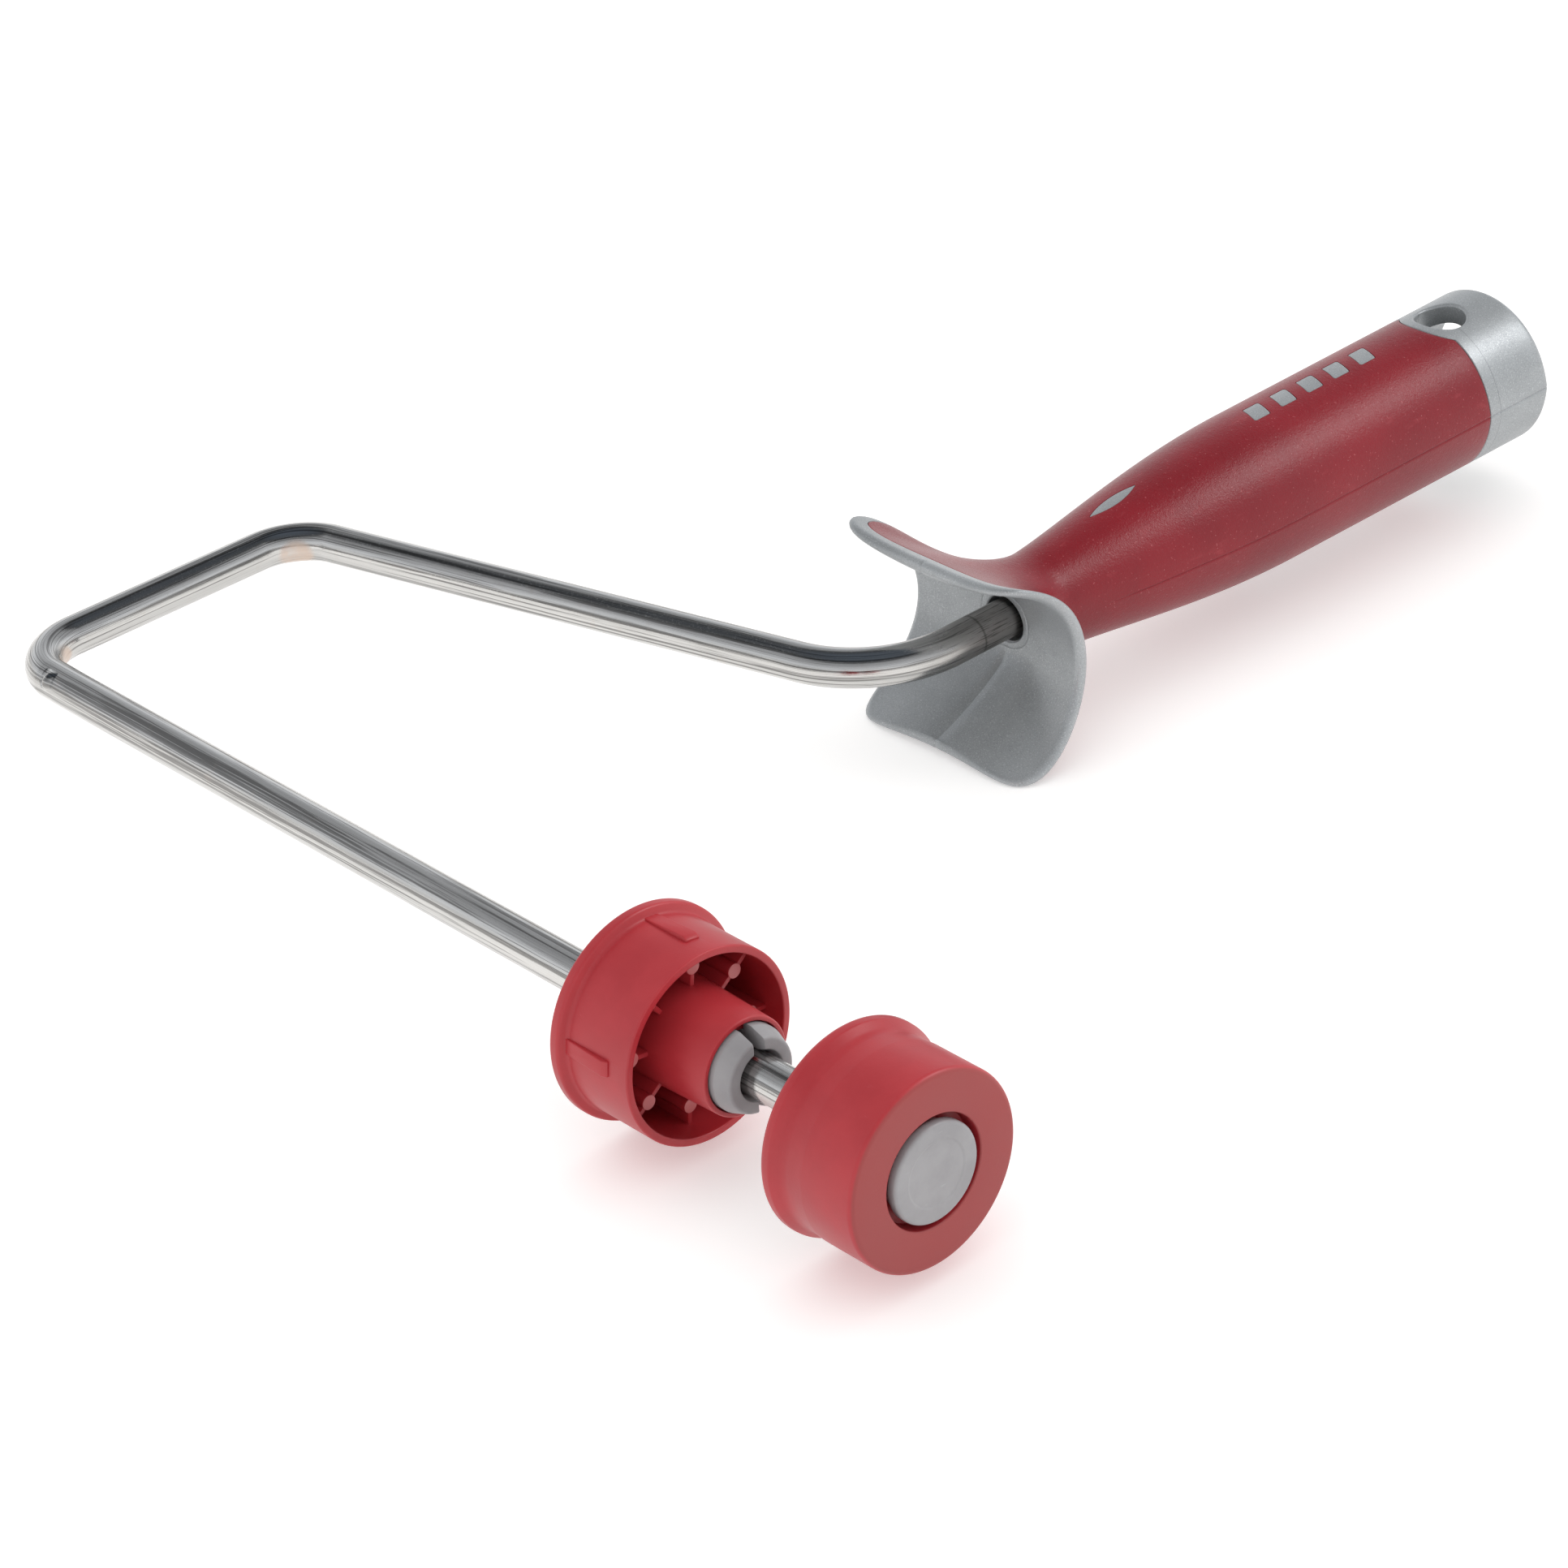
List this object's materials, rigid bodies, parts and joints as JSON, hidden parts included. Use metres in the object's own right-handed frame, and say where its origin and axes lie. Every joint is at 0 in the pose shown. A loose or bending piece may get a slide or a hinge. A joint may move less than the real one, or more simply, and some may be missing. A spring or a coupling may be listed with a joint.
{
  "type": "paint roller frame",
  "caption": "Roller frame for painting: bent steel rod arm, soft-grip handle with flared guard, and two end caps that carry a roller sleeve.",
  "frame": {"origin": "on the axle, halfway along the front cap's cylindrical seat for the roller sleeve", "axes": "+X along the axle towards its free end, +Y along the handle away from the roller, +Z square to the plane of the rod"},
  "size_m": [0.2676, 0.3, 0.0432],
  "materials": {
    "steel_rod": "drawn bright steel",
    "core_plastic": "satin metallic grey",
    "soft_grip": "matte, finely grained",
    "red_plastic": "satin",
    "grey_plastic": "satin",
    "spring_steel": "plain"
  },
  "bodies": {
    "frame": {"wire_frame": "steel_rod", "handle_core": "core_plastic", "handle_grip": "soft_grip", "front_bush": "grey_plastic", "retaining_ring": "spring_steel", "end_button": "grey_plastic"},
    "rear_bush": {"rear_bush": "grey_plastic"},
    "rear_cap": {"rear_cap": "red_plastic"},
    "front_cap": {"front_cap": "red_plastic"}
  },
  "joints": [
    {"name": "rear_bush_slide", "type": "slide", "parent": "frame", "child": "rear_bush", "axis": [1, 0, 0], "range_m": [-0.169, 0.02]},
    {"name": "rear_cap_spin", "type": "hinge", "parent": "rear_bush", "child": "rear_cap", "pos_m": [-0.056, 0, 0], "axis": [1, 0, 0], "continuous": true},
    {"name": "front_cap_spin", "type": "hinge", "parent": "frame", "child": "front_cap", "pos_m": [0, 0, 0], "axis": [1, 0, 0], "continuous": true}
  ]
}
